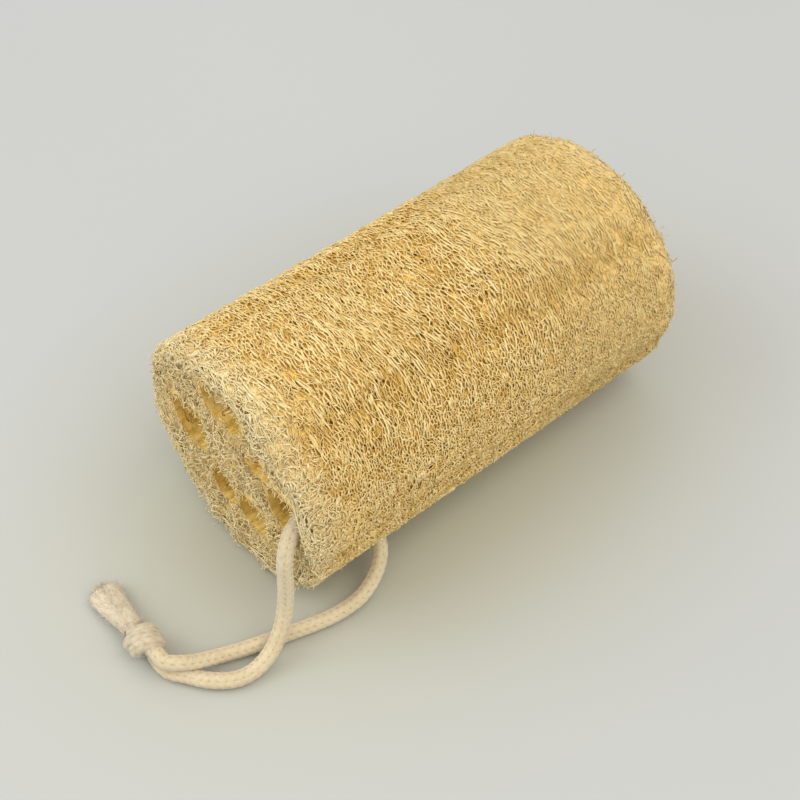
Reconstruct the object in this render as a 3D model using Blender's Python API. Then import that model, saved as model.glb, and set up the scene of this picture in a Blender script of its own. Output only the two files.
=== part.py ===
"""A section of natural loofah, lying on its side, with a knotted cotton hanging cord.

The row frame has its origin on the surface, under the middle of the loofah. +Y runs along the
loofah from the end with the cord to the other end, +X is to the right seen from that first end,
and +Z is up. Sizes below are in millimetres, and MM turns them into Blender's metres.
"""

import math

import bmesh
import bpy
from mathutils import Vector

MM = 0.001

# Loofah body
LENGTH = 140.3
WIDTH = 80.0
HEIGHT = 76.5
ROUNDNESS = 2.14  # power of the oval outline, where 2 is an ellipse
FLATTENED = 0.9  # how much of the underside its own weight presses flat
SPOT_ANGLE = math.radians(9)  # half the size of the plain flat spot under its middle
SPOT_LENGTH = 12.0
EDGE_ROUND = 3.4

# Long shallow grooves between the gourd's ribs: angle in degrees from +X up towards +Z, and depth
GROOVES = ((49, 1.5), (117, 0.9), (166, 1.0), (218, 0.8), (304, 0.7), (346, 0.9))
GROOVE_WIDTH = math.radians(8)
GROOVE_MEANDER = math.radians(2.5)

# Raised net, larger than life: wavy hoops that meet and part, with a pit in each opening
HOOPS = 22
OPENINGS_PER_HOOP = 18
COLUMNS_PER_OPENING = 4
HOOP_PITCH = LENGTH / HOOPS
HOOP_WAVE = 0.36 * HOOP_PITCH
PIT_DEPTH = 1.9
HOOP_DRIFT = 1.5
COLUMN_DRIFT = 0.03

# Matted, frayed cut ends
END_RINGS = 3
END_RELIEF = 1.6
END_LUMP = 2.7  # about a sixth of the distance from one lump to the next
FRAY = 0.55

# Seed canals: centre (x, z), half width, half height
CANALS = {
    "top": (0.5, 64.0, 8.7, 6.0),
    "left": (-18.5, 41.3, 8.4, 7.3),
    "bottom_left": (-4.6, 26.6, 5.4, 6.6),
    "bottom_right": (9.2, 25.2, 6.4, 5.2),
    "right": (26.3, 43.6, 7.0, 6.6),
}
CANAL_SIDES = 16
CANAL_LENGTHS = 6
CANAL_ROUNDNESS = 2.2
CANAL_UNEVEN = 0.06  # share by which its outline bulges and draws in
CANAL_WANDER = 0.5
CANAL_FLARE = 0.12  # share by which it widens at its mouths
CANAL_MOUTH = 0.14  # share of its length over which it does so
CANAL_OVERRUN = 4.0
TOP_SEPTUM = 0.32  # how far the small wall in the top canal narrows it, as a share of its height
TOP_SEPTUM_WIDTH = 2.6
HOLLOW_CENTRE = (15.8, 53.0)  # a blind hollow in the first end, over the right canal
HOLLOW_SIZE = (5.6, 3.2)
HOLLOW_DEPTH = 8.0
HOLLOW_DOME = 0.35  # share of its depth lost at the edge of its floor
HOLLOW_TAPER = 0.25

# Cotton cord
CORD_DIAMETER = 4.8
CORD_STEP = 1.15 * CORD_DIAMETER  # between the points of its tube
CORD_SIDES = 2  # Blender's bevel_resolution, which gives 8 sides
PASSAGE_CLEARANCE = 0.45
FACE_GAP = 0.3  # left between two pieces that touch
ENTRY_STRAIGHT = 1.4  # the cord meets the knot square on for this far
CURVE_STEPS = 20  # fine points on the smooth route between two given ones

# The cord's route, x, y and z: from the knot up into the right canal, out through the wall, and back
FRONT_STRAND = (
    (18.3, -112.4, 2.6),
    (22.6, -111.6, 2.6),
    (26.9, -108.6, 2.6),
    (31.0, -105.8, 2.6),
    (34.8, -102.0, 2.6),
    (37.2, -97.8, 2.6),
    (38.0, -93.2, 2.9),
    (37.8, -88.8, 4.4),
    (36.9, -84.9, 6.8),
    (35.6, -81.3, 10.4),
    (34.5, -78.9, 15.3),
    (33.8, -77.4, 21.2),
    (33.4, -76.6, 27.4),
    (33.0, -75.9, 33.2),
    (32.0, -73.8, 38.4),
    (30.6, -69.9, 41.9),
    (29.4, -65.0, 42.6),
    (28.3, -60.0, 40.9),
)
SIDE_STRAND = (
    (27.5, -55.4, 37.6),
    (27.0, -51.0, 32.8),
    (26.9, -47.2, 27.2),
    (27.6, -44.4, 21.2),
    (29.6, -42.9, 15.9),
    (32.7, -43.3, 11.9),
    (35.7, -46.1, 8.8),
    (38.0, -51.0, 6.0),
    (39.1, -57.0, 3.9),
    (38.4, -64.6, 2.8),
    (36.6, -72.0, 2.6),
    (34.5, -78.8, 2.6),
    (32.3, -85.6, 2.6),
    (30.2, -92.0, 2.7),
    (28.2, -98.0, 3.4),
    (26.7, -104.0, 5.2),
    (25.0, -109.0, 7.3),
    (22.3, -112.0, 7.8),
    (18.3, -112.4, 7.8),
)

# Knot and tails
KNOT_CENTRE = (11.8, -112.4, 5.6)
KNOT_RADII = (5.2, 5.4, 5.2)
KNOT_RIGHT = 18.0
KNOT_LEFT = 5.4
STUB_RADIUS = 2.5
NECK_LENGTH = 4.4  # how far the tails' root reaches into the knot
WRAP_TUBE = 2.2
WRAP_RADIUS = 3.3
# Each wrap's x, and its turn and tilt in degrees
WRAPS = ((9.4, 14, 6), (14.0, -18, 8))
TAIL_END = -15.2
TAIL_SIDES = 20
TAIL_LENGTHS = 8
TAIL_ROUNDNESS = 2.6
TAIL_GROOVE = 0.2  # share by which the groove between the two ends draws the outline in
TAIL_HALF_WIDTH = (3.5, 5.4)  # at the knot and at the tip
TAIL_HALF_HEIGHT = (3.3, 2.3)
TAIL_LIFT = 1.6  # how much higher the tails are at the knot than where they lie
TAIL_SWAY = 0.7
TAIL_TIP = 0.14  # share of the tails' length that is rounded off
TAIL_TIP_SHRINK = 0.75
REST_GAP = 0.1  # the tails' underside over the surface

LOOFAH_COLOUR = (0.62, 0.42, 0.16, 1.0)
COTTON_COLOUR = (0.71, 0.59, 0.40, 1.0)


def clear_scene():
    for thing in list(bpy.data.objects):
        bpy.data.objects.remove(thing, do_unlink=True)


def new_collection(name):
    collection = bpy.data.collections.new(name)
    bpy.context.scene.collection.children.link(collection)
    return collection


def plain_material(name, colour, roughness):
    material = bpy.data.materials.new(name)
    material.use_nodes = True
    shader = material.node_tree.nodes["Principled BSDF"]
    shader.inputs["Base Color"].default_value = colour
    shader.inputs["Roughness"].default_value = roughness
    shader.inputs["Metallic"].default_value = 0.0
    return material


def smooth_step(value):
    value = min(1.0, max(0.0, value))
    return value * value * (3 - 2 * value)


def oval_reach(angle, half_width, half_height, power):
    """Distance from an oval's centre to its edge, in the direction of angle."""
    across = abs(math.cos(angle)) / half_width
    up = abs(math.sin(angle)) / half_height
    return (across**power + up**power) ** (-1 / power)


def formed_cylinder(name, around, along, end_rings, place):
    """A cylinder primitive with every point moved to place(angle, t, fraction), in millimetres.

    t runs from 0 to 1 along it, and fraction from 0 to 1 outwards across its ends.
    """
    form = bmesh.new()
    bmesh.ops.create_cone(form, cap_ends=True, segments=around, radius1=1, radius2=1, depth=1)
    lengthwise = [edge for edge in form.edges if abs(edge.verts[0].co.z - edge.verts[1].co.z) > 0.5]
    bmesh.ops.subdivide_edges(form, edges=lengthwise, cuts=along - 1, use_grid_fill=True)
    for _ in range(end_rings):
        ends = [face for face in form.faces if len(face.verts) == around]
        bmesh.ops.inset_individual(form, faces=ends, thickness=1 / (end_rings + 1))
    for point in form.verts:
        x, y, z = point.co
        point.co = MM * Vector(place(math.atan2(y, x), z + 0.5, min(1.0, math.hypot(x, y))))
    bmesh.ops.triangulate(form, faces=form.faces)
    bmesh.ops.recalc_face_normals(form, faces=form.faces)
    mesh = bpy.data.meshes.new(name)
    form.to_mesh(mesh)
    form.free()
    return bpy.data.objects.new(name, mesh)


def unevenness(angle, t):
    """A value between -1 and 1 that drifts over the surface."""
    return 0.5 * math.sin(3 * angle + 9 * t) + 0.5 * math.sin(5 * angle - 23 * t + 1.7)


def clear_of_spot(angle, t):
    """0 on the flat spot that the loofah lies on, rising to 1 beside it."""
    around = abs(math.remainder(angle + math.pi / 2, 2 * math.pi)) / SPOT_ANGLE
    along = abs(t - 0.5) * LENGTH / SPOT_LENGTH
    return smooth_step(max(around, along) - 1)


def groove_depth(angle, t):
    depth = 0.0
    for degrees, deepest in GROOVES:
        middle = math.radians(degrees) + GROOVE_MEANDER * math.sin(5 * t + degrees)
        away = math.remainder(angle - middle, 2 * math.pi) / GROOVE_WIDTH
        depth += deepest * math.exp(-(away**2))
    return depth


def net_relief(angle, t):
    """How far a point is pressed in, and how far it moves along, to make the hoops and pits."""
    line = round(t * 2 * HOOPS)
    side = 1 if (line // 2) % 2 == 0 else -1
    wave = side * math.cos(OPENINGS_PER_HOOP * angle)
    drift = unevenness(angle, t)
    if line % 2 == 0:
        return 0.0, HOOP_WAVE * wave + HOOP_DRIFT * drift
    depth = PIT_DEPTH * (0.5 - 0.5 * wave) * (1 + 0.3 * drift)
    return depth, HOOP_DRIFT * drift


def loofah_point(angle, t, fraction):
    half_height = (HEIGHT + FLATTENED) / 2
    from_end = min(t, 1 - t) * LENGTH
    clear_of_end = smooth_step(from_end / (2 * HOOP_PITCH))
    shown = clear_of_spot(angle, t)
    turned = angle + COLUMN_DRIFT * shown * math.sin(11 * t + 2)
    reach = oval_reach(turned, WIDTH / 2, half_height, ROUNDNESS) - shown * groove_depth(turned, t)
    reach -= EDGE_ROUND * max(0.0, 1 - from_end / EDGE_ROUND) ** 2 / 2
    y = (t - 0.5) * LENGTH
    outwards = 1 if t > 0.5 else -1
    if from_end > 0.1:
        depth, shift = net_relief(angle, t)
        reach -= depth * shown * max(clear_of_end, 0.5)
        y += shift * clear_of_end
    elif fraction > 0.999:
        tooth = math.cos(OPENINGS_PER_HOOP * COLUMNS_PER_OPENING / 2 * angle)
        tooth *= 0.7 + 0.3 * math.sin(7 * angle)
        reach += FRAY * tooth
        y += outwards * FRAY * tooth
    x = reach * fraction * math.cos(turned)
    z = HEIGHT - half_height + reach * fraction * math.sin(turned)
    if fraction < 0.999:
        lump = math.sin(x / END_LUMP + z / 9) * math.sin(z / END_LUMP - x / 7)
        y -= outwards * END_RELIEF * (0.5 + 0.5 * lump)
    return x, y, max(z, 0.0)


def canal_point(name):
    """The place function of one seed canal's cutter, which runs past both ends."""
    centre_x, centre_z, half_width, half_height = CANALS[name]
    phase = centre_x

    def place(angle, t, fraction):
        y = (t - 0.5) * (LENGTH + 2 * CANAL_OVERRUN)
        near_mouth = smooth_step((abs(t - 0.5) - 0.5 + CANAL_MOUTH) / CANAL_MOUTH)
        reach = oval_reach(angle, half_width, half_height, CANAL_ROUNDNESS)
        reach *= (1 + CANAL_FLARE * near_mouth) * (1 + CANAL_UNEVEN * math.sin(3 * angle + phase))
        x = reach * math.cos(angle) * fraction
        z = reach * math.sin(angle) * fraction
        if name == "top":
            z *= 1 - TOP_SEPTUM * math.exp(-((x / TOP_SEPTUM_WIDTH) ** 2))
        x += centre_x + CANAL_WANDER * math.sin(5 * t + phase)
        z += centre_z + CANAL_WANDER * math.sin(6 * t + 2 * phase)
        return x, y, z

    return place


def hollow_point(angle, t, fraction):
    """The blind hollow's cutter: its inner end is domed."""
    depth = HOLLOW_DEPTH * (1 - HOLLOW_DOME * fraction**2)
    y = -LENGTH / 2 + (depth if t > 0.5 else -CANAL_OVERRUN)
    reach = oval_reach(angle, *HOLLOW_SIZE, 2.0) * fraction * (1 - HOLLOW_TAPER * t)
    return HOLLOW_CENTRE[0] + reach * math.cos(angle), y, HOLLOW_CENTRE[1] + reach * math.sin(angle)


def smooth_route(points, step):
    """Points every step or so, read from a smooth curve through the given ones."""
    given = [Vector(point) for point in points]
    guarded = [2 * given[0] - given[1], *given, 2 * given[-1] - given[-2]]
    fine = []
    for before, start, end, after in zip(guarded, guarded[1:], guarded[2:], guarded[3:]):
        for index in range(CURVE_STEPS):
            t = index / CURVE_STEPS
            fine.append(
                0.5
                * (
                    2 * start
                    + (end - before) * t
                    + (2 * before - 5 * start + 4 * end - after) * t**2
                    + (3 * start - before - 3 * end + after) * t**3
                )
            )
    fine.append(given[-1])
    run = [0.0]
    for start, end in zip(fine, fine[1:]):
        run.append(run[-1] + (end - start).length)
    count = round(run[-1] / step)
    route = []
    at = 0
    for index in range(count + 1):
        wanted = run[-1] * index / count
        while at < len(run) - 2 and run[at + 1] < wanted:
            at += 1
        share = (wanted - run[at]) / (run[at + 1] - run[at])
        route.append(fine[at].lerp(fine[at + 1], share))
    return route


def cord_tube(name, route, radius):
    curve = bpy.data.curves.new(name, "CURVE")
    curve.dimensions = "3D"
    curve.bevel_depth = radius * MM
    curve.bevel_resolution = CORD_SIDES
    curve.use_fill_caps = True
    spline = curve.splines.new("POLY")
    spline.points.add(len(route) - 1)
    for point, place in zip(spline.points, route):
        point.co = (*(MM * place), 1)
    return bpy.data.objects.new(name, curve)


def as_mesh_object(tube):
    """The same tube as a mesh with its caps welded on, so that it can cut."""
    bpy.context.scene.collection.objects.link(tube)
    evaluated = tube.evaluated_get(bpy.context.evaluated_depsgraph_get())
    mesh = bpy.data.meshes.new_from_object(evaluated)
    form = bmesh.new()
    form.from_mesh(mesh)
    bmesh.ops.remove_doubles(form, verts=form.verts, dist=1e-5)
    bmesh.ops.recalc_face_normals(form, faces=form.faces)
    form.to_mesh(mesh)
    form.free()
    solid = bpy.data.objects.new(tube.name, mesh)
    bpy.data.objects.remove(tube, do_unlink=True)
    return solid


def hide_helper(helper, collection):
    helper.hide_render = True
    helper.display_type = "WIRE"
    collection.objects.link(helper)


def make_loofah(parts, cutters):
    around = OPENINGS_PER_HOOP * COLUMNS_PER_OPENING
    loofah = formed_cylinder("loofah", around, 2 * HOOPS, END_RINGS, loofah_point)
    reach = [point.co.x for point in loofah.data.vertices]
    middle = (max(reach) + min(reach)) / 2
    for point in loofah.data.vertices:
        point.co.x -= middle
    for name in CANALS:
        cutter = formed_cylinder(f"canal_{name}", CANAL_SIDES, CANAL_LENGTHS, 0, canal_point(name))
        hide_helper(cutter, cutters)
    hide_helper(formed_cylinder("hollow", CANAL_SIDES, 1, 1, hollow_point), cutters)
    passage_route = smooth_route(FRONT_STRAND[-5:] + SIDE_STRAND[:7], CORD_STEP)
    passage_radius = CORD_DIAMETER / 2 + PASSAGE_CLEARANCE
    passage = as_mesh_object(cord_tube("cord_passage", passage_route, passage_radius))
    hide_helper(passage, cutters)
    loofah.data.materials.append(plain_material("loofah_fibre", LOOFAH_COLOUR, 0.85))
    parts.objects.link(loofah)
    cut = loofah.modifiers.new("canals_and_cord_hole", "BOOLEAN")
    cut.operation = "DIFFERENCE"
    cut.operand_type = "COLLECTION"
    cut.solver = "MANIFOLD"  # the exact one leaves a flat scrap where a canal meets the far end
    cut.collection = cutters


def between(ends, share):
    return ends[0] + (ends[1] - ends[0]) * share


def tail_piece(name, along, end_rings, start_x, end_x):
    """Two flattened cord ends side by side, with a groove between them and a round tip."""

    def place(angle, t, fraction):
        x = between((start_x, end_x), t)
        share = (KNOT_LEFT - x) / (KNOT_LEFT - TAIL_END)
        half_height = between(TAIL_HALF_HEIGHT, smooth_step(1.6 * share))
        half_width = between(TAIL_HALF_WIDTH, smooth_step(1.2 * share))
        reach = oval_reach(angle, half_width, half_height, TAIL_ROUNDNESS)
        reach *= 1 - TAIL_GROOVE * abs(math.sin(angle)) ** 8
        reach *= math.sqrt(1 - TAIL_TIP_SHRINK * smooth_step((share - 1 + TAIL_TIP) / TAIL_TIP) ** 2)
        y = KNOT_CENTRE[1] + TAIL_SWAY * share + reach * fraction * math.cos(angle)
        z = REST_GAP + half_height + TAIL_LIFT * (1 - share) ** 2 + reach * fraction * math.sin(angle)
        return x, y, z

    return formed_cylinder(name, TAIL_SIDES, along, end_rings, place)


def wrap_ring(x, turn, tilt):
    bpy.ops.mesh.primitive_torus_add(
        major_segments=16,
        minor_segments=8,
        major_radius=WRAP_RADIUS * MM,
        minor_radius=WRAP_TUBE * MM,
        location=(x * MM, KNOT_CENTRE[1] * MM, KNOT_CENTRE[2] * MM),
        rotation=(0, math.radians(90 + tilt), math.radians(turn)),
    )
    return bpy.context.object


def entry_stub(z):
    """A short end of a strand that stands out of the knot, for the cord to meet."""
    depth = KNOT_RIGHT - KNOT_CENTRE[0]
    bpy.ops.mesh.primitive_cylinder_add(
        vertices=12,
        radius=STUB_RADIUS * MM,
        depth=depth * MM,
        location=((KNOT_RIGHT - depth / 2) * MM, KNOT_CENTRE[1] * MM, z * MM),
        rotation=(0, math.pi / 2, 0),
    )
    return bpy.context.object


def move_to(collection, piece):
    for holder in list(piece.users_collection):
        holder.objects.unlink(piece)
    collection.objects.link(piece)


def make_knot(parts, cotton):
    """An overhand knot in both strands: an oval lump with the wraps standing out of it."""
    bpy.ops.mesh.primitive_uv_sphere_add(segments=16, ring_count=10, radius=1)
    knot = bpy.context.object
    knot.name = "cord_knot"
    for point in knot.data.vertices:
        spread = [size * share for size, share in zip(KNOT_RADII, point.co)]
        point.co = MM * (Vector(KNOT_CENTRE) + Vector(spread))
    pieces = [wrap_ring(*wrap) for wrap in WRAPS]
    pieces += [entry_stub(FRONT_STRAND[0][2]), entry_stub(SIDE_STRAND[-1][2])]
    pieces.append(tail_piece("neck", 1, 0, KNOT_LEFT + NECK_LENGTH, KNOT_LEFT))
    joined = new_collection("knot_pieces")
    for piece in pieces:
        move_to(joined, piece)
    join = knot.modifiers.new("wraps", "BOOLEAN")
    join.operation = "UNION"
    join.operand_type = "COLLECTION"
    join.collection = joined
    fused = knot.evaluated_get(bpy.context.evaluated_depsgraph_get())
    fused = bpy.data.meshes.new_from_object(fused)
    knot.modifiers.clear()
    knot.data = fused
    for piece in pieces:
        bpy.data.objects.remove(piece, do_unlink=True)
    bpy.data.collections.remove(joined)
    move_to(parts, knot)
    knot.data.materials.append(cotton)


def make_cord(parts):
    cotton = plain_material("cotton_cord", COTTON_COLOUR, 0.9)
    route = smooth_route(FRONT_STRAND + SIDE_STRAND, CORD_STEP)
    straight = Vector((ENTRY_STRAIGHT, 0, 0))
    route.insert(1, route[0] + straight)
    route.insert(-1, route[-1] + straight)
    cord = cord_tube("cord_loop", route, CORD_DIAMETER / 2)
    cord.data.materials.append(cotton)
    parts.objects.link(cord)
    make_knot(parts, cotton)
    tails = tail_piece("cord_tails", TAIL_LENGTHS, 1, KNOT_LEFT - FACE_GAP, TAIL_END)
    tails.data.materials.append(cotton)
    parts.objects.link(tails)


def main():
    clear_scene()
    parts = new_collection("loofah_sponge")
    cutters = new_collection("cutters")
    make_loofah(parts, cutters)
    make_cord(parts)
    for piece in parts.objects:
        if piece.type == "MESH":
            piece.data.shade_smooth()
            piece.data.set_sharp_from_angle(angle=math.radians(50))


main()
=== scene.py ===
"""Looks of the natural loofah with its knotted cotton cord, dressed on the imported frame.

The loofah is a golden core with its canals, covered by a net of fine fibres that follows the gourd's
surface, with matted fibres on both cut ends. Sizes are in millimetres until a mesh is made.
"""

import math

import bpy
import numpy as np
from mathutils import Matrix, Vector
from mathutils.geometry import delaunay_2d_cdt


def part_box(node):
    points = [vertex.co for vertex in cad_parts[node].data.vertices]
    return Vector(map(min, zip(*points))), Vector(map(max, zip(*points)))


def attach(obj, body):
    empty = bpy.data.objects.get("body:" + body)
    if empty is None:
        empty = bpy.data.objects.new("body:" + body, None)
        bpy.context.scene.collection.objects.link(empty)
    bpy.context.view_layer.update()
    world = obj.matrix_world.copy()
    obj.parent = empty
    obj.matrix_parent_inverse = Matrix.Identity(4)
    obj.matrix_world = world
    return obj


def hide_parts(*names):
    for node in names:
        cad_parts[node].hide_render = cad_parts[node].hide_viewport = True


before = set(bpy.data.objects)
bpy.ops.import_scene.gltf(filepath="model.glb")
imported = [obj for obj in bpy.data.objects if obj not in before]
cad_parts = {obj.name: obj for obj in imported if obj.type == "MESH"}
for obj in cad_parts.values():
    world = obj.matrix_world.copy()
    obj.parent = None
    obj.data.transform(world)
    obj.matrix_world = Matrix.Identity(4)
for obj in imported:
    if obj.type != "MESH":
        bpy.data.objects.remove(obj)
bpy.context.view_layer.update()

MM = 0.001
ROOT = "root"
SEED = 20
WHITE = (1.0, 1.0, 1.0)
BLACK = (0.0, 0.0, 0.0)

# Loofah body, as in the frame
BODY_LOW, BODY_HIGH = (np.array(corner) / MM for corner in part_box("loofah"))
FRAY = 0.55
HALF_LENGTH = (BODY_HIGH[1] - BODY_LOW[1]) / 2 - FRAY
HALF_WIDTH = (BODY_HIGH[0] - BODY_LOW[0]) / 2
FLATTENED = 0.9
HALF_HEIGHT = (BODY_HIGH[2] + FLATTENED) / 2
MEAN_RADIUS = 38.0
CENTRE_Z = BODY_HIGH[2] - HALF_HEIGHT
ROUNDNESS = 2.14
EDGE_ROUND = 3.4
GROOVES = ((45.5, 1.1), (117, 0.9), (166, 1.0), (218, 0.8), (304, 0.7), (346, 0.9))
GROOVE_WIDTH = math.radians(8)
GROOVE_MEANDER = math.radians(2.5)
GROOVE_SHADE = 0.2  # painted shade: tone lost for each millimetre of groove
NEAR_BLEACH = 13.5  # how far the cream of each cut end reaches along the side
FAR_BLEACH = 7.0
GRAIN_TOP = math.radians(105)  # where round the gourd the net's cells are longest

# Seed canals: centre (x, z), half width, half height
CANALS = {
    "top": (0.5, 64.0, 8.7, 6.0),
    "left": (-18.5, 41.3, 8.4, 7.3),
    "bottom_left": (-4.6, 26.6, 5.4, 6.6),
    "bottom_right": (9.2, 25.2, 6.4, 5.2),
    "right": (26.3, 43.6, 7.0, 6.6),
}
CANAL_ROUNDNESS = 2.2
CANAL_UNEVEN = 0.06
CANAL_FLARE = 0.12  # share by which a canal widens at its mouths
CANAL_MOUTH = 20.0
TOP_SEPTUM = 0.32  # share of its height that the low wall in the top canal takes
TOP_SEPTUM_WIDTH = 2.6
HOLLOW_CENTRE = (15.8, 53.0)
HOLLOW_SIZE = (5.6, 3.2)
HOLLOW_DEPTH = 8.0

# Cut faces: the dense tissue between the canals stands out, and the wall between two of them is low
HEART = (2.0, 45.0)
HEART_SIZE = 9.0
HEART_RISE = 1.2
TROUGH = (2.5, 26.0)
TROUGH_SIZE = (5.0, 3.0)
TROUGH_DEPTH = 2.0

# Core under the net
CORE_DEPTH = 1.0
CORE_RECESS = 0.8  # how far it lies back from the fibres on the cut faces
CORE_STEP = 1.45
CORE_COLUMNS = 196
CUTTER_SIDES = 48

# Fibres: each net has a cell's length along and round the gourd, its depth, its fibres' radius,
# the share of missing cells, and how far it turns in over the cut faces
FIBRE_RADIUS = 0.28
OUTER_NET = (0.88, 1.1, 0.15, FIBRE_RADIUS, 0.08, 2.2)
UNDER_NET = (2.5, 2.5, 0.6, 0.24, 0.08, 1.8)
LONGEST_STRAND = 24
LOOSE_STRANDS = 2300
STRAND_STEP = 0.62
FUZZ = 1500
FRINGE_SPACING = 0.32
# Each end: which way it faces, its nets (seed, cell, depth, radius), matted fibres, frayed fibres
ENDS = {
    "end_near": (-1, ((11, 1.5, 0.0, 0.2), (12, 1.7, 0.8, 0.2)), 900, 800),
    "end_far": (1, ((13, 1.7, 0.2, 0.22),), 700, 450),
}
NET_SIDES = 3
MOST_TRIANGLES = 190_000  # in one piece

# Cotton cord
CORD_DIAMETER = 4.8
CORD_RADIUS = CORD_DIAMETER / 2
HOLE_CLEARANCE = 0.9
FIBRE_CLEARANCE = 0.35
CORD_STEP = 0.45
CORD_SIDES = 36
BRAID_COLUMNS = 6
BRAID_PITCH = 2.3
# Each strand's route in metres, from inside the loofah to the knot
FRONT_ROUTE = (
    (0.0283, -0.0600, 0.0409),
    (0.0294, -0.0650, 0.0426),
    (0.0306, -0.0699, 0.0419),
    (0.0320, -0.0738, 0.0384),
    (0.0330, -0.0759, 0.0332),
    (0.0334, -0.0766, 0.0274),
    (0.0338, -0.0774, 0.0212),
    (0.0345, -0.0789, 0.0153),
    (0.0356, -0.0813, 0.0104),
    (0.0369, -0.0849, 0.0068),
    (0.0378, -0.0888, 0.0044),
    (0.0380, -0.0932, 0.0029),
    (0.0372, -0.0978, 0.0026),
    (0.0348, -0.1020, 0.0026),
    (0.0310, -0.1058, 0.0026),
    (0.0269, -0.1086, 0.0026),
    (0.0226, -0.1116, 0.0026),
    (0.0183, -0.1124, 0.0026),
)
SIDE_ROUTE = (
    (0.0275, -0.0554, 0.0376),
    (0.0270, -0.0510, 0.0328),
    (0.0269, -0.0472, 0.0272),
    (0.0276, -0.0444, 0.0212),
    (0.0296, -0.0429, 0.0159),
    (0.0327, -0.0433, 0.0119),
    (0.0357, -0.0461, 0.0088),
    (0.0380, -0.0510, 0.0060),
    (0.0391, -0.0570, 0.0039),
    (0.0384, -0.0646, 0.0028),
    (0.0366, -0.0720, 0.0026),
    (0.0345, -0.0788, 0.0026),
    (0.0323, -0.0856, 0.0026),
    (0.0302, -0.0920, 0.0027),
    (0.0282, -0.0980, 0.0034),
    (0.0267, -0.1040, 0.0052),
    (0.0250, -0.1090, 0.0073),
    (0.0223, -0.1120, 0.0078),
    (0.0183, -0.1124, 0.0078),
)

# Knot and tails
KNOT_CENTRE = np.array((11.8, -112.4, 5.6))
KNOT_LEFT = 5.1
KNOT_RIGHT = 18.0
KNOT_TURNS = 2.6
KNOT_WRAP = 3.2
WRAP_RADIUS = 2.35
THROUGH_RADIUS = 2.2
TAIL_END = -15.2
NECK_HALF_WIDTH = 3.1
NECK_HALF_HEIGHT = 2.9
TAIL_HALF_WIDTH = 4.8
TAIL_HALF_HEIGHT = 2.2
TAIL_SWAY = 0.7
TAIL_HAIRS = 600

# Colours: dark, middle and pale, and for the fibres also the cream of the cut ends
OUTER_FIBRE = ((0.62, 0.39, 0.09), (0.81, 0.61, 0.265), (0.84, 0.68, 0.35), (0.81, 0.69, 0.415))
UNDER_FIBRE = ((0.64, 0.40, 0.07), (0.80, 0.54, 0.145), (0.85, 0.61, 0.22), (0.82, 0.65, 0.33))
CANAL_FIBRE = ((0.56, 0.34, 0.06), (0.78, 0.52, 0.12), (0.88, 0.65, 0.20), (0.88, 0.66, 0.26))
CORE_TONES = ((0.56, 0.33, 0.05), (0.76, 0.50, 0.12), (0.87, 0.63, 0.21))
CORE_CLOSED = (0.70, 0.50, 0.205)
CORE_BLEACHED = (0.76, 0.585, 0.275)
# Painted shade of the pith's deep holes
CORE_PIT_SHADE = (0.13, 0.065, 0.012)
CANAL_TONES = ((0.54, 0.32, 0.05), (0.78, 0.52, 0.12), (0.88, 0.65, 0.20))
# For cotton, the dark colour is painted shade in the braid's pits.
COTTON = ((0.44, 0.345, 0.20), (0.60, 0.51, 0.35), (0.65, 0.565, 0.41))
# The knot takes the darker of these colours; the pale one serves as painted light at the tails' tip and on
# their hairs.
KNOT_AND_TAIL_COTTON = ((0.40, 0.33, 0.225), (0.56, 0.485, 0.37), (0.68, 0.605, 0.48))

# Camera: it looks at a point beside the loofah from this far, in the heading of the photograph
LENS = 63.0
LOOK_AT = (-0.0142, 0.0031, 0.0)
CAMERA_DISTANCE = 0.4604
CAMERA_BACK = (0.5153, -0.4061, 0.7547)
CAMERA_ROLL = math.radians(-2.12)

# Light: a bright room, a cool window at the photograph's left and a warm wall at its right
ROOM_LIGHT = 1.0
ROOM_COLOUR = (1.0, 0.985, 0.94, 1.0)
LIGHT_SIZE = 0.9
PAINTED_BOUNCE_REACH = (0.12, 0.17)  # how far across and along the floor the painted light reflected off the loofah reaches, in metres
LIGHTS = {
    "window": ((-0.55, -0.8, 0.8), 5.6, (0.88, 0.95, 1.0)),
    "warm_wall": ((0.6, 0.15, 1.0), 5.6, (1.0, 0.97, 0.86)),
}


# Shapes of the gourd


def smooth_step(value):
    value = np.clip(value, 0.0, 1.0)
    return value * value * (3 - 2 * value)


def wrapped(angle):
    return (angle + np.pi) % (2 * np.pi) - np.pi


def full_turn(count):
    return 2 * np.pi * np.arange(count) / count


def radial_way(angle):
    """Unit vectors straight out of the gourd at these angles round it."""
    return np.stack([np.cos(angle), 0 * angle, np.sin(angle)], axis=1)


def tangent_way(angle):
    """Unit vectors round the gourd at these angles."""
    return np.stack([-np.sin(angle), 0 * angle, np.cos(angle)], axis=1)


def oval_reach(angle, half_width, half_height, power):
    across = np.abs(np.cos(angle)) / half_width
    up = np.abs(np.sin(angle)) / half_height
    return (across**power + up**power) ** (-1 / power)


def groove_depth(angle, y):
    """How deep the gourd's grooves are here. Each of them meanders a little along its length."""
    t = y / (2 * HALF_LENGTH) + 0.5
    depth = np.zeros_like(angle)
    for degrees, deepest in GROOVES:
        middle = math.radians(degrees) + GROOVE_MEANDER * np.sin(5 * t + degrees)
        depth += deepest * np.exp(-((wrapped(angle - middle) / GROOVE_WIDTH) ** 2))
    return depth


def waves(rng, count, length):
    """A smooth random field over points in space, about -1 to 1, with waves of about this length."""
    ways = rng.normal(size=(count, 3))
    ways *= (2 * np.pi / length) * rng.uniform(0.6, 1.5, (count, 1)) / np.linalg.norm(ways, axis=1)[:, None]
    phases = rng.uniform(0, 2 * np.pi, count)

    def field(points):
        return np.sin(points @ ways.T + phases).sum(axis=1) * (1.4 / math.sqrt(count))

    return field


LUMPS = waves(np.random.default_rng(SEED + 7), 12, 8.0)


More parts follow.
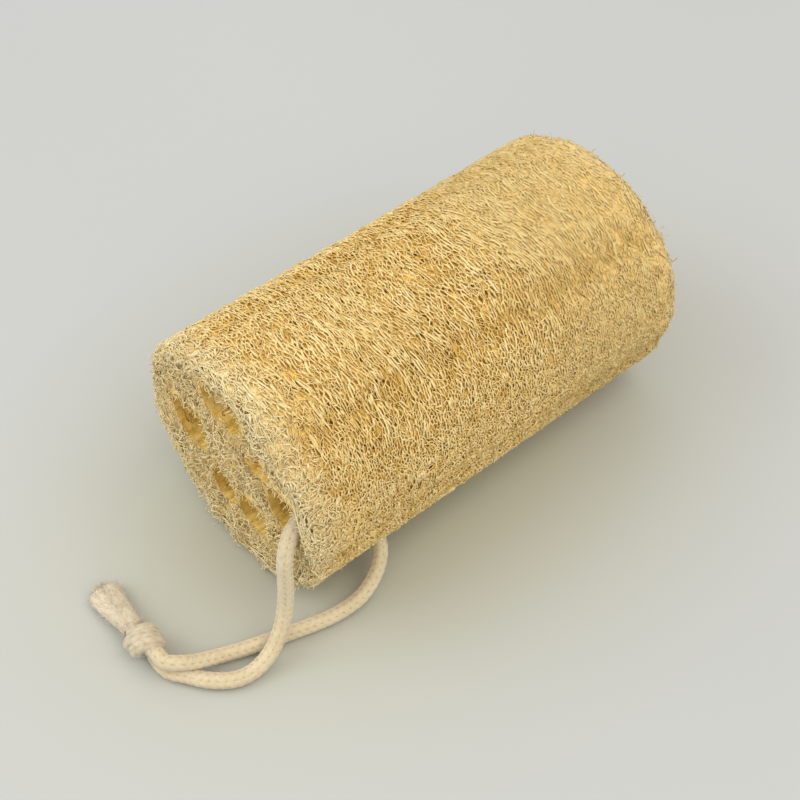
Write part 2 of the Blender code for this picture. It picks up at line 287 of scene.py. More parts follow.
def on_surface(angle, y, depth):
    """Points this deep under the outer surface, which past either end turns in over the cut face."""
    past_end = np.maximum(0.0, np.abs(y) - HALF_LENGTH)
    y = np.clip(y, -HALF_LENGTH, HALF_LENGTH)
    from_end = HALF_LENGTH - np.abs(y)
    reach = oval_reach(angle, HALF_WIDTH, HALF_HEIGHT, ROUNDNESS) - groove_depth(angle, y)
    reach = reach - EDGE_ROUND * np.maximum(0.0, 1 - from_end / EDGE_ROUND) ** 2 / 2 - past_end
    on_face = smooth_step(past_end / 0.8)
    reach = reach - depth * (1 - on_face)
    y = y - np.sign(y) * depth * on_face
    x = reach * np.cos(angle)
    z = np.maximum(CENTRE_Z + reach * np.sin(angle), depth * 0.6 + FIBRE_RADIUS)
    return np.stack([x, y, z], axis=-1)


def septum(x):
    """Share of the top canal's height that the low wall in it leaves, this far from its middle."""
    return 1 - TOP_SEPTUM * np.exp(-((x / TOP_SEPTUM_WIDTH) ** 2))


def mouth(y):
    """How much of its flare a canal has here: none inside the loofah, all of it at a mouth."""
    return smooth_step((np.abs(y) - HALF_LENGTH + CANAL_MOUTH) / CANAL_MOUTH)


def canal_reach(name, angle, flare=1.0):
    """Distance from a canal's middle to its wall."""
    centre_x, _, half_width, half_height = CANALS[name]
    reach = oval_reach(angle, half_width, half_height, CANAL_ROUNDNESS) * (1 + CANAL_FLARE * flare)
    return reach * (1 + CANAL_UNEVEN * np.sin(3 * angle + centre_x))


def canal_points(name, angle, reach, y):
    """Points at this reach from a canal's middle."""
    centre_x, centre_z = CANALS[name][:2]
    x = reach * np.cos(angle)
    z = reach * np.sin(angle)
    if name == "top":
        z = z * septum(x)
    return np.stack([x + centre_x, y, z + centre_z], axis=-1)


def canal_gap(x, y, z):
    """Distance from the nearest canal's edge, in the cross-section: negative inside a canal."""
    nearest = np.full(np.shape(x), 1e3)
    for name, (centre_x, centre_z, _, _) in CANALS.items():
        across = x - centre_x
        up = z - centre_z
        if name == "top":
            up = up / septum(across)
        reach = canal_reach(name, np.arctan2(up, across))
        nearest = np.minimum(nearest, np.hypot(across, up) - reach)
    across = x - HOLLOW_CENTRE[0]
    up = z - HOLLOW_CENTRE[1]
    reach = oval_reach(np.arctan2(up, across), *HOLLOW_SIZE, 2.0)
    return np.where(y < 0, np.minimum(nearest, np.hypot(across, up) - reach), nearest)


def end_level(x, z, outwards):
    """How far the tissue stands out of or back from the cut plane at one end."""
    points = np.stack([x, np.full_like(x, 100.0 * outwards), z], axis=-1)
    trough = np.exp(-(((x - TROUGH[0]) / TROUGH_SIZE[0]) ** 2) - ((z - TROUGH[1]) / TROUGH_SIZE[1]) ** 2)
    heart = np.exp(-(((x - HEART[0]) / HEART_SIZE) ** 2) - ((z - HEART[1]) / HEART_SIZE) ** 2)
    return 0.7 * LUMPS(points) + HEART_RISE * heart - TROUGH_DEPTH * trough


# Meshes


def tube_walls(index):
    """Triangles between rings of point numbers (..., rings, around)."""
    here, there = index[..., :-1, :], index[..., 1:, :]
    here_next, there_next = np.roll(here, -1, axis=-1), np.roll(there, -1, axis=-1)
    halves = ((here, here_next, there_next), (here, there_next, there))
    return [np.stack(corners, axis=-1).reshape(-1, 3) for corners in halves]


def closed_tube(rings, around):
    """Triangles of a tube whose ring points are followed by a middle point for each end."""
    index = np.arange(rings * around).reshape(rings, around)
    first, last = np.full(around, rings * around), np.full(around, rings * around + 1)
    caps = [
        np.stack([first, np.roll(index[0], -1), index[0]], axis=1),
        np.stack([last, index[-1], np.roll(index[-1], -1)], axis=1),
    ]
    return np.concatenate([*tube_walls(index), *caps])


def loft(name, rings):
    """A closed object through rings of points (rings, around, 3), each end closed at its middle."""
    points = np.concatenate([rings.reshape(-1, 3), rings[0].mean(0)[None], rings[-1].mean(0)[None]])
    return mesh_object(name, points, closed_tube(*rings.shape[:2]))


def mesh_object(name, points, triangles):
    """A new object from points in millimetres and triangles, shaded smooth."""
    mesh = bpy.data.meshes.new(name)
    mesh.vertices.add(len(points))
    mesh.vertices.foreach_set("co", (np.asarray(points, float) * MM).ravel())
    mesh.loops.add(3 * len(triangles))
    mesh.loops.foreach_set("vertex_index", np.asarray(triangles, np.int32).ravel())
    mesh.polygons.add(len(triangles))
    mesh.polygons.foreach_set("loop_start", np.arange(0, 3 * len(triangles), 3, dtype=np.int32))
    mesh.polygons.foreach_set("use_smooth", np.full(len(triangles), True))
    mesh.update(calc_edges=True)
    thing = bpy.data.objects.new(name, mesh)
    bpy.context.scene.collection.objects.link(thing)
    return thing


def read(data, name):
    """One vector for each item of a mesh layer, as rows."""
    values = np.empty(3 * len(data))
    data.foreach_get(name, values)
    return values.reshape(-1, 3)


def paint(thing, name, values):
    """A number for each point of the mesh, which its material reads by this name."""
    layer = thing.data.attributes.new(name, "FLOAT", "POINT")
    layer.data.foreach_set("value", np.asarray(values, np.float32))


def rim_gap(x, y, z):
    """Distance inwards from the gourd's outer surface, in the cross-section."""
    angle = np.arctan2(z - CENTRE_Z, x)
    reach = oval_reach(angle, HALF_WIDTH, HALF_HEIGHT, ROUNDNESS) - groove_depth(angle, y)
    return reach - np.hypot(x, z - CENTRE_Z)


def shown_tone(points, tone):
    """The tone of fibres, evened where pith closes their net, with painted shade in the gourd's grooves."""
    closed = closed_at(points[:, 1])
    angle = np.arctan2(points[:, 2] - CENTRE_Z, points[:, 0])
    groove = groove_depth(angle, points[:, 1]) * (rim_gap(*points.T) < 3)
    return 0.5 + (tone - 0.5) * (1 - 0.6 * closed) - GROOVE_SHADE * groove


def bleach_at(points):
    """How far the sun-dried cream of the cut ends reaches, 0 to 1: wide at the near end's rim."""
    x, y, z = points[..., 0], points[..., 1], points[..., 2]
    near = smooth_step((NEAR_BLEACH - (y + HALF_LENGTH)) / NEAR_BLEACH)
    far = 0.6 * smooth_step((FAR_BLEACH - (HALF_LENGTH - y)) / FAR_BLEACH)
    inside = smooth_step((rim_gap(x, y, z) - 2.0) / 9.0)
    by_canal = np.exp(-np.maximum(canal_gap(x, y, z), 0.0) / 1.4) * inside
    return np.maximum(near, far) * (1 - 0.35 * inside) * (1 - 0.7 * by_canal)


def finish_piece(piece, slot, node, *materials):
    piece.data.materials.clear()
    for material in materials:
        piece.data.materials.append(material)
    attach(piece, ROOT)
    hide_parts(node)
    return piece


def tube_batch(lines, radii, sides=NET_SIDES):
    """Closed tubes along lines (count, points, 3) with radii (count, points): (points, triangles)."""
    count, length = lines.shape[:2]
    along = np.gradient(lines, axis=1)
    along /= np.linalg.norm(along, axis=2, keepdims=True) + 1e-9
    chord = lines[:, -1] - lines[:, 0]
    guide = np.cross(chord, np.array((0.31, 0.52, 0.79)))
    guide = np.where(np.linalg.norm(guide, axis=1, keepdims=True) < 1e-3, (1.0, 0.0, 0.0), guide)
    side = guide[:, None, :] - along * (guide[:, None, :] * along).sum(axis=2, keepdims=True)
    side /= np.linalg.norm(side, axis=2, keepdims=True) + 1e-9
    other = np.cross(along, side)
    turn = full_turn(sides)
    ring = np.cos(turn)[:, None] * side[:, :, None, :] + np.sin(turn)[:, None] * other[:, :, None, :]
    points = lines[:, :, None, :] + radii[:, :, None, None] * ring
    index = np.arange(count * length * sides).reshape(count, length, sides)
    caps = []
    for corner in range(1, sides - 1):
        caps.append(index[:, 0][:, [0, corner + 1, corner]])
        caps.append(index[:, -1][:, [0, corner, corner + 1]])
    return points.reshape(-1, 3), np.concatenate([*tube_walls(index), *caps])


def tube_pieces(name, batches, material, slot="loofah_fibre", node="loofah"):
    """Objects with all the tubes, each under MOST_TRIANGLES. A batch has lines, radii and tones."""
    total = 0
    for lines, _, _ in batches:
        count, length = lines.shape[:2]
        total += count * 2 * (NET_SIDES * (length - 1) + NET_SIDES - 2)
    shares = math.ceil(total / MOST_TRIANGLES)
    pieces = []
    for share in range(shares):
        points, triangles, tones, start = [], [], [], 0
        for lines, radii, tone in batches:
            chosen, made = tube_batch(lines[share::shares], radii[share::shares])
            points.append(chosen)
            triangles.append(made + start)
            tones.append(np.repeat(tone[share::shares].ravel(), NET_SIDES))
            start += len(chosen)
        label = name if shares == 1 else f"{name}_{share + 1}"
        points = np.concatenate(points)
        piece = mesh_object(label, points, np.concatenate(triangles))
        paint(piece, "tone", shown_tone(points, np.concatenate(tones)))
        paint(piece, "bleach", bleach_at(points))
        paint(piece, "closed", closed_at(points[:, 1]))
        pieces.append(finish_piece(piece, slot, node, material))
    return pieces


# Fibre net


def cell_graph(rng, around, along, missing):
    """Cell walls of scattered cells on a sheet that closes on itself: (nodes, edges) in cell units."""
    rows, columns = round(around), round(along)
    row, column = np.meshgrid(np.arange(rows), np.arange(columns), indexing="ij")
    p = (row + 0.5 * (column % 2)) * around / rows + rng.uniform(-0.44, 0.44, row.shape)
    q = column + rng.uniform(-0.42, 0.42, row.shape)
    seeds = np.stack([p.ravel() % around, q.ravel()], axis=1)
    seeds = seeds[rng.random(len(seeds)) > missing]
    margin = 5.0
    below = seeds[seeds[:, 0] > around - margin] - (around, 0)
    above = seeds[seeds[:, 0] < margin] + (around, 0)
    seeds = np.concatenate([seeds, below, above])
    corners, _, faces, *_ = delaunay_2d_cdt([Vector(seed) for seed in seeds.tolist()], [], [], 0, 1e-9)
    corners = np.array([tuple(corner) for corner in corners])
    faces = np.array(faces)
    sides = np.concatenate([faces[:, [0, 1]], faces[:, [1, 2]], faces[:, [2, 0]]])
    sides.sort(axis=1)
    owner = np.tile(np.arange(len(faces)), 3)
    key = sides[:, 0].astype(np.int64) * len(corners) + sides[:, 1]
    order = np.argsort(key, kind="stable")
    shared = np.flatnonzero(key[order][1:] == key[order][:-1])
    edges = np.stack([owner[order[shared]], owner[order[shared + 1]]], axis=1)
    nodes = corners[faces].mean(axis=1)
    middle = nodes[edges, 0].mean(axis=1)
    return nodes, edges[(middle >= 0) & (middle < around)]


def through_pairs(nodes, edges):
    """For each node, the two edges that run on straightest through it: {(node, edge): edge}."""
    slots = [[] for _ in range(len(nodes))]
    for number, (a, b) in enumerate(edges.tolist()):
        slots[a].append((number, b))
        slots[b].append((number, a))
    places = nodes.tolist()
    partner = {}
    beside = np.tile(np.arange(len(nodes))[:, None], (1, 2))
    for node, around in enumerate(slots):
        if len(around) < 2:
            continue
        here_x, here_y = places[node]
        ways = [(places[other][0] - here_x, places[other][1] - here_y) for _, other in around]
        best, pair = 2.0, None
        for i in range(len(around)):
            ax, ay = ways[i]
            for j in range(i):
                bx, by = ways[j]
                straight = (ax * bx + ay * by) / (math.hypot(ax, ay) * math.hypot(bx, by) + 1e-9)
                if straight < best:
                    best, pair = straight, (around[i], around[j])
        partner[(node, pair[0][0])] = pair[1][0]
        partner[(node, pair[1][0])] = pair[0][0]
        beside[node] = pair[0][1], pair[1][1]
    return partner, beside


def strands_of(edges, partner):
    """Chains the edges into strands that run on through the pairs: lists of node numbers."""
    used = np.zeros(len(edges), bool)
    pairs = edges.tolist()
    strands = []
    for first in range(len(pairs)):
        if used[first]:
            continue
        used[first] = True
        chain = list(pairs[first])
        for end in (0, -1):
            edge, node = first, chain[end]
            while len(chain) < LONGEST_STRAND:
                edge = partner.get((node, edge))
                if edge is None or used[edge]:
                    break
                used[edge] = True
                a, b = pairs[edge]
                node = b if a == node else a
                if end == 0:
                    chain.insert(0, node)
                else:
                    chain.append(node)
        strands.append(chain)
    return strands


def by_length(rng, nodes, strands, places, inwards, radii, tones):
    """Strands of equal length batched as arrays. Those across the grain are thin, dark and deeper."""
    groups = {}
    for strand in strands:
        groups.setdefault(len(strand), []).append(strand)
    batches = []
    for group in groups.values():
        chosen = np.array(group)
        span = np.abs(nodes[chosen[:, -1]] - nodes[chosen[:, 0]])
        grain = (span[:, 0] / (span.sum(axis=1) + 1e-9) - 0.5)[:, None]
        thickness = (1 + 0.5 * grain) * np.clip(rng.normal(1, 0.2, (len(group), 1)), 0.6, 1.4)
        tone = 0.3 * grain + rng.normal(0, 0.14, (len(group), 1))
        deeper = 0.22 * (0.5 - grain) + rng.uniform(-0.1, 0.12, (len(group), 1))
        sunk = inwards[chosen] * deeper[..., None]
        batches.append((places[chosen] + sunk, radii[chosen] * thickness, tones[chosen] + tone))
    return batches


def on_top(angle):
    """How much this side of the gourd has the grain of its top, 0 to 1."""
    return smooth_step(0.5 + 1.1 * (np.cos(wrapped(angle - GRAIN_TOP)) - 0.35))


def cell_stretch(angle):
    """Length of a net cell round the gourd, as a share: long on top and underneath."""
    underneath = np.exp(-((wrapped(angle + math.radians(90)) / 0.7) ** 2))
    return 1.0 + 1.15 * on_top(angle) + 1.2 * underneath


def closed_at(y):
    """How far the holes of the net are closed with pith, 0 to 1: more towards the far end."""
    return smooth_step((y - 2) / 34)


def matted_at(y):
    """How tightly the fibres near the near end's rim are matted, 0 to 1."""
    return smooth_step((-y - 42) / 24)


def tidied(rng, around, along, missing):
    """The scattered net with each node drawn towards the strand through it."""
    nodes, edges = cell_graph(rng, around, along, missing)
    beside = through_pairs(nodes, edges)[1]
    return 0.5 * nodes + 0.5 * nodes[beside].mean(axis=1), edges


def net_batches(rng, nodes, edges, kept, places, inwards, size, tone):
    """Batches of the net's strands, without the nodes that aren't kept."""
    edges = edges[kept[edges].all(axis=1)]
    partner = through_pairs(nodes, edges)[0]
    return by_length(rng, nodes, strands_of(edges, partner), places, inwards, size, tone)


def gourd_net(seed, cell_along, cell_around, depth, radius, missing, turned_in):
    """A net round the gourd that also turns in over both cut faces."""
    rng = np.random.default_rng(SEED + seed)
    fine = np.linspace(-np.pi, np.pi, 2001)
    pace = oval_reach(fine, HALF_WIDTH, HALF_HEIGHT, ROUNDNESS) / (cell_around * cell_stretch(fine))
    run = np.concatenate([[0.0], np.cumsum((pace[1:] + pace[:-1]) / 2 * (fine[1] - fine[0]))])
    reach_along = 2 * (HALF_LENGTH + turned_in)
    nodes, edges = tidied(rng, run[-1], reach_along / cell_along, missing)
    angle = np.interp(nodes[:, 0] % run[-1], run, fine)
    y = nodes[:, 1] * cell_along - reach_along / 2
    rough = on_surface(angle, y, 0.0)
    inner = smooth_step((HALF_LENGTH - np.abs(y)) / 8)
    y = y + (waves(rng, 9, 60.0)(rough) * 1.8 + waves(rng, 9, 9.0)(rough) * 0.14) * inner
    rim = 1 - inner
    y = y + 0.35 * rim * waves(rng, 12, 4.0)(rough)
    angle = angle + (0.004 + 0.009 * rim) * waves(rng, 12, 4.5)(rough)
    lift = (0.1 + 0.15 * rim) * waves(rng, 12, 3.2)(rough) + rng.normal(0, 0.08, len(y))
    lift *= 1 - 0.4 * closed_at(y)
    places = on_surface(angle, y, depth + lift)
    size = radius * np.clip(1 + 0.1 * waves(rng, 9, 5.0)(rough) + rng.normal(0, 0.12, len(y)), 0.6, 1.3)
    size *= 1 + (0.4 * closed_at(y) + 0.15 * matted_at(y)) * inner
    # Painted shade: fibres that lie deeper get a darker tone.
    tone = 0.55 - 0.6 * lift + 0.08 * waves(rng, 9, 9.0)(rough)
    kept = clear_of_cord(places)
    on_face = np.abs(y) > HALF_LENGTH
    kept[on_face] &= canal_gap(*places[on_face].T) > 0.3
    inwards = -radial_way(angle) * (1 - on_face)[:, None]
    return net_batches(rng, nodes, edges, kept, places, inwards, size, tone)


def loose_strands(rng, count=LOOSE_STRANDS, steps=6):
    """Single fibres that lie over the net, mostly round the gourd on top and any way below."""
    angle = wrapped(math.radians(60) + rng.normal(0, 1.1, count))
    y = rng.uniform(-HALF_LENGTH + 0.5, HALF_LENGTH - 0.5, count)
    by_rim = rng.random(count) < 0.3
    y = np.where(by_rim, np.minimum(rng.exponential(8.0, count) + 0.5 - HALF_LENGTH, HALF_LENGTH - 0.5), y)
    flow = waves(rng, 9, 26.0)
    sway = waves(rng, 9, 4.0)
    grain = on_top(angle) * (1 - by_rim)
    heading = rng.normal(0, 1, count) * (1.2 - 0.9 * grain)
    places = []
    for _ in range(steps):
        here = on_surface(angle, y, 0.0)
        places.append(on_surface(angle, y, -0.06 - 0.1 * sway(here)))
        turn = heading + 0.25 * flow(here) + 0.45 * sway(here[:, ::-1])
        heading = heading + rng.normal(0, 0.3, count)
        angle = angle + STRAND_STEP / MEAN_RADIUS * np.cos(turn)
        y = y + STRAND_STEP * np.sin(turn)
    lines = np.stack(places, axis=1)
    lines = lines[(np.abs(lines[..., 1]) < HALF_LENGTH).all(axis=1)]
    lines = kept_clear(lines)
    ends = np.sin(np.linspace(0.15, 0.85, steps) * np.pi) ** 0.5
    radii = rng.uniform(0.15, 0.25, (len(lines), 1)) * ends
    return [(lines, radii, 0.55 + rng.normal(0, 0.12, (len(lines), 1)) + np.zeros(steps))]


def face_net(outwards, seed, cell, depth, radius):
    """A tangled net over one cut face, in the walls between its canals."""
    rng = np.random.default_rng(SEED + seed)
    across = 2 * HALF_WIDTH / cell
    nodes, edges = tidied(rng, across, across, 0.1)
    flat = np.stack([nodes[:, 0] * cell - HALF_WIDTH, 0 * nodes[:, 0], nodes[:, 1] * cell], axis=1)
    x = flat[:, 0] + 0.8 * waves(rng, 9, 9.0)(flat)
    z = flat[:, 2] + 0.8 * waves(rng, 9, 9.0)(flat) + CENTRE_Z - HALF_WIDTH
    rim = rim_gap(x, outwards * HALF_LENGTH, z)
    lift = 0.45 * waves(rng, 12, 2.6)(flat) + rng.normal(0, 0.3, len(x))
    level = end_level(x, z, outwards) * smooth_step(rim / 6) + lift - depth
    places = np.stack([x, outwards * (HALF_LENGTH + level), z], axis=1)
    size = radius * np.clip(1 + rng.normal(0, 0.16, len(x)), 0.6, 1.5)
    kept = (canal_gap(x, outwards, z) > 0.2) & (rim > 1.9) & (z > 0.5) & clear_of_cord(places)
    inwards = np.tile((0.0, -2.0 * outwards, 0.0), (len(x), 1))
    # Painted shade: fibres lying deeper or in the face's low places get a darker tone, those standing out a
    # lighter one.
    tone = 0.72 + 0.35 * lift - 0.2 * depth + 0.12 * np.minimum(end_level(x, z, outwards), 0)
    return net_batches(rng, nodes, edges, kept, places, inwards, size, tone)


def curly_lines(rng, start, way, curl, step, count, lowest=0.1):
    """Lines that start at points, head off along ways and wander, none under the lowest level."""
    lines = [start]
    heading = way / np.linalg.norm(way, axis=1, keepdims=True)
    for _ in range(count - 1):
        heading = heading + rng.normal(0, curl, heading.shape)
        heading /= np.linalg.norm(heading, axis=1, keepdims=True)
        lines.append(lines[-1] + heading * step[:, None])
    lines = np.stack(lines, axis=1)
    lines[..., 2] = np.maximum(lines[..., 2], lowest)
    return lines


# Cord


def smooth_route(points, step):
    """Points every step or so, in millimetres, read from a smooth curve through points in metres."""
    given = np.array(points) / MM
    guarded = np.concatenate([[2 * given[0] - given[1]], given, [2 * given[-1] - given[-2]]])
    fine = []
    for index in range(len(given) - 1):
        before, start, end, after = guarded[index : index + 4]
        t = np.linspace(0, 1, 24, endpoint=False)[:, None]
        fine.append(
            0.5
            * (
                2 * start
                + (end - before) * t
                + (2 * before - 5 * start + 4 * end - after) * t**2
                + (3 * start - before - 3 * end + after) * t**3
            )
        )
    fine = np.concatenate([*fine, given[-1:]])
    run = np.concatenate([[0.0], np.cumsum(np.linalg.norm(np.diff(fine, axis=0), axis=1))])
    wanted = np.linspace(0, run[-1], max(2, round(run[-1] / step) + 1))
    return np.stack([np.interp(wanted, run, fine[:, axis]) for axis in range(3)], axis=1)


FRONT_PATH = smooth_route(FRONT_ROUTE, CORD_STEP)
SIDE_PATH = smooth_route(SIDE_ROUTE, CORD_STEP)


def clear_of_cord(points):
    """Which of the points, as the last axis of an array, the cord leaves free."""
    nearest = np.full(points.shape[:-1], 1e9)
    for place in np.concatenate([FRONT_PATH, SIDE_PATH])[::3]:
        nearest = np.minimum(nearest, ((points - place) ** 2).sum(axis=-1))
    return np.sqrt(nearest) > CORD_RADIUS + FIBRE_CLEARANCE


def path_frames(route):
    """Tangent, side and upper vectors along a route, carried along without twist."""
    along = np.gradient(route, axis=0)
    along /= np.linalg.norm(along, axis=1, keepdims=True)
    side = np.cross(along[0], (0.0, 0.0, 1.0))
    if np.linalg.norm(side) < 0.2:
        side = np.cross(along[0], (0.0, 1.0, 0.0))
    sides = []
    for way in along:
        side = side - way * (side @ way)
        side /= np.linalg.norm(side)
        sides.append(side)
    sides = np.array(sides)
    return along, sides, np.cross(along, sides)


def braid_relief(turn, run):
    """Height of plaited yarns, 0 to 1: slanted stitches in columns that lean to alternate sides."""
    place = turn / (2 * np.pi) * BRAID_COLUMNS
    column = np.floor(place)
    across = place - column - 0.5
    lean = np.where(column % 2 == 0, 1.0, -1.0)
    stitch = run / BRAID_PITCH + 0.7 * lean * across + 0.5 * (np.floor(column / 2) % 2)
    edge = np.abs(2 * across) ** 3
    seam = (1 - np.abs(np.cos(np.pi * stitch))) ** 1.5
    return 1 - 0.3 * edge - 0.35 * seam - 0.2 * edge * seam


def braided_tube(route, radius, flat=0.94, relief=0.4):
    """A braided cord along a route, slightly flattened: (points, triangles, tones)."""
    along, side, upper = path_frames(route)
    run = np.concatenate([[0.0], np.cumsum(np.linalg.norm(np.diff(route, axis=0), axis=1))])
    turns, runs = np.meshgrid(full_turn(CORD_SIDES), run)
    height = braid_relief(turns, runs)
    reach = radius - relief + relief * height
    across = reach * np.cos(turns)
    up = reach * np.sin(turns) * flat
    points = route[:, None] + across[..., None] * side[:, None] + up[..., None] * upper[:, None]
    tones = np.concatenate([height.ravel(), [0.6, 0.6]])
    points = np.concatenate([points.reshape(-1, 3), route[:1], route[-1:]])
    return points, closed_tube(len(route), CORD_SIDES), tones


# Materials


def new_material(name, roughness, sheen=0.0):
    material = bpy.data.materials.new(name)
    material.use_nodes = True
    shader = material.node_tree.nodes["Principled BSDF"]
    shader.inputs["Roughness"].default_value = roughness
    shader.inputs["Sheen Weight"].default_value = sheen
    shader.inputs["Specular IOR Level"].default_value = 0.3
    return material, material.node_tree, shader


def noise_node(tree, scale, detail=2.0, stretch=None):
    """A noise texture in object space, in waves per metre."""
    nodes, links = tree.nodes, tree.links
    place = nodes.new("ShaderNodeTexCoord")
    noise = nodes.new("ShaderNodeTexNoise")
    noise.inputs["Scale"].default_value = scale
    noise.inputs["Detail"].default_value = detail
    source = place.outputs["Object"]
    if stretch:
        mapping = nodes.new("ShaderNodeMapping")
        mapping.inputs["Scale"].default_value = stretch
        links.new(source, mapping.inputs["Vector"])
        source = mapping.outputs["Vector"]
    links.new(source, noise.inputs["Vector"])
    return noise.outputs["Fac"]


def ramp_node(tree, source, *stops):
    """Colours over a number: each stop has a position and a colour."""
    ramp = tree.nodes.new("ShaderNodeValToRGB")
    elements = ramp.color_ramp.elements
    while len(elements) < len(stops):
        elements.new(0.5)
    for element, (position, colour) in zip(elements, stops):
        element.position = position
        element.color = (*colour, 1.0)
    tree.links.new(source, ramp.inputs["Fac"])
    return ramp.outputs["Color"]


def mix_node(tree, kind, share, first, second):
    mix = tree.nodes.new("ShaderNodeMix")
    mix.data_type = "RGBA"
    mix.blend_type = kind
    if isinstance(share, float):
        mix.inputs["Factor"].default_value = share
    else:
        tree.links.new(share, mix.inputs["Factor"])
    for value, socket in ((first, mix.inputs["A"]), (second, mix.inputs["B"])):
        if isinstance(value, tuple):
            socket.default_value = (*value, 1.0)
        else:
            tree.links.new(value, socket)
    return mix.outputs["Result"]


def shaded(tree, colour, source, *stops, share=1.0):
    """The colour, multiplied by a ramp over a number."""
    return mix_node(tree, "MULTIPLY", share, colour, ramp_node(tree, source, *stops))


def bump_node(tree, shader, height, strength, distance):
    bump = tree.nodes.new("ShaderNodeBump")
    bump.inputs["Strength"].default_value = strength
    bump.inputs["Distance"].default_value = distance
    tree.links.new(height, bump.inputs["Height"])
    tree.links.new(bump.outputs["Normal"], shader.inputs["Normal"])


def attribute_node(tree, name):
    """The number that paint() gave each point under this name."""
    reader = tree.nodes.new("ShaderNodeAttribute")
    reader.attribute_name = name
    return reader.outputs["Fac"]


def fibre_material(name, dark, middle, pale, bleached):
    """Dry plant fibre: each strand has its own tone, with painted shade where it lies deeper and in the
    gourd's grooves, and the cut ends are bleached to cream.
    """
    material, tree, shader = new_material(name, 0.7)
    tone = attribute_node(tree, "tone")
    tones = ramp_node(tree, tone, (0.05, dark), (0.5, middle), (0.95, pale))
    dark_cream = tuple(0.5 * (a + b) for a, b in zip(dark, bleached))
    creams = ramp_node(tree, tone, (0.1, dark_cream), (0.6, bleached))
    colour = mix_node(tree, "MIX", attribute_node(tree, "bleach"), tones, creams)
    closed = attribute_node(tree, "closed")
    colour = shaded(tree, colour, closed, (0.0, WHITE), (1.0, (0.85, 0.845, 0.84)))
    specks = (0.3, (0.84, 0.80, 0.72)), (0.62, (1.05, 1.04, 1.02))
    colour = shaded(tree, colour, noise_node(tree, 1100.0, 1.0), *specks, share=0.7)
    tree.links.new(colour, shader.inputs["Base Color"])
    bump_node(tree, shader, noise_node(tree, 2600.0, 1.0), 0.2, 0.0001)
    return material


def voronoi_node(tree, scale, feature="F1"):
    """Random cells in object space, this many per metre."""
    place = tree.nodes.new("ShaderNodeTexCoord")
    cells = tree.nodes.new("ShaderNodeTexVoronoi")
    cells.feature = feature
    cells.inputs["Scale"].default_value = scale
    tree.links.new(place.outputs["Object"], cells.inputs["Vector"])
    return cells.outputs


def core_material():
    """The matted pith under the net: golden, darker in some cells, with painted shade in the grooves and a
    few pits painted dark as the shade in deep holes.
    """
    material, tree, shader = new_material("loofah_core", 0.8)
    cells = voronoi_node(tree, 520.0)
    dark, middle, pale = CORE_TONES
    tones = ramp_node(tree, cells["Color"], (0.25, dark), (0.42, middle), (0.7, pale))
    web = voronoi_node(tree, 850.0, "DISTANCE_TO_EDGE")
    colour = shaded(tree, tones, web["Distance"], (0.05, (1.08, 1.08, 1.08)), (0.3, (0.88, 0.84, 0.76)))
    tint = (0.35, (0.90, 0.86, 0.78)), (0.65, (1.06, 1.04, 1.0))
    colour = shaded(tree, colour, noise_node(tree, 60.0, 3.0), *tint, share=0.9)
    # Painted shade in the gourd's grooves, carried by the tone.
    painted_groove_shade = attribute_node(tree, "tone")
    colour = shaded(tree, colour, painted_groove_shade, (0.1, (0.72, 0.64, 0.5)), (0.6, WHITE))
    # Painted shade: a few cells get a dark pit, standing in for the shade in a deep hole.
    few = ramp_node(tree, cells["Color"], (0.33, WHITE), (0.37, BLACK))
    pits = shaded(tree, few, cells["Distance"], (0.28, WHITE), (0.42, BLACK))
    colour = mix_node(tree, "MIX", pits, colour, CORE_PIT_SHADE)
    colour = mix_node(tree, "MIX", attribute_node(tree, "closed"), colour, CORE_CLOSED)
    colour = mix_node(tree, "MIX", attribute_node(tree, "bleach"), colour, CORE_BLEACHED)
    tree.links.new(colour, shader.inputs["Base Color"])
    bump_node(tree, shader, web["Distance"], 0.6, 0.0004)
    return material


def canal_material():
    """The canals' lining: golden pith, finely mottled, with painted shade that darkens it further in."""
    material, tree, shader = new_material("canal_wall", 0.6)
    mottle = noise_node(tree, 650.0, 4.0, (1.0, 0.45, 1.0))
    dark, middle, pale = CANAL_TONES
    tones = ramp_node(tree, mottle, (0.32, dark), (0.5, middle), (0.66, pale))
    # Painted shade: the lining is darker the further it lies from a cut face.
    inside = attribute_node(tree, "inside")
    colour = shaded(tree, tones, inside, (0.0, WHITE), (1.0, (0.66, 0.56, 0.36)))
    tree.links.new(colour, shader.inputs["Base Color"])
    bump_node(tree, shader, mottle, 0.6, 0.0005)
    return material


def cotton_material(name, pit_shade, crown, pale):
    """Unbleached cotton: cream, with painted shade that darkens the braid's pits, and a soft bloom."""
    material, tree, shader = new_material(name, 0.9, sheen=0.4)
    crowns = ramp_node(tree, attribute_node(tree, "tone"), (0.25, pit_shade), (0.5, crown), (1.0, pale))
    broad = noise_node(tree, 120.0, 3.0)
    colour = shaded(tree, crowns, broad, (0.3, (0.92, 0.89, 0.84)), (0.7, (1.03, 1.02, 1.0)))
    yarn = noise_node(tree, 1500.0, 3.0)
    specks = (0.3, (0.86, 0.83, 0.77)), (0.65, (1.04, 1.03, 1.0))
    colour = shaded(tree, colour, yarn, *specks, share=0.7)
    tree.links.new(colour, shader.inputs["Base Color"])
    bump_node(tree, shader, yarn, 0.35, 0.0002)
    return material


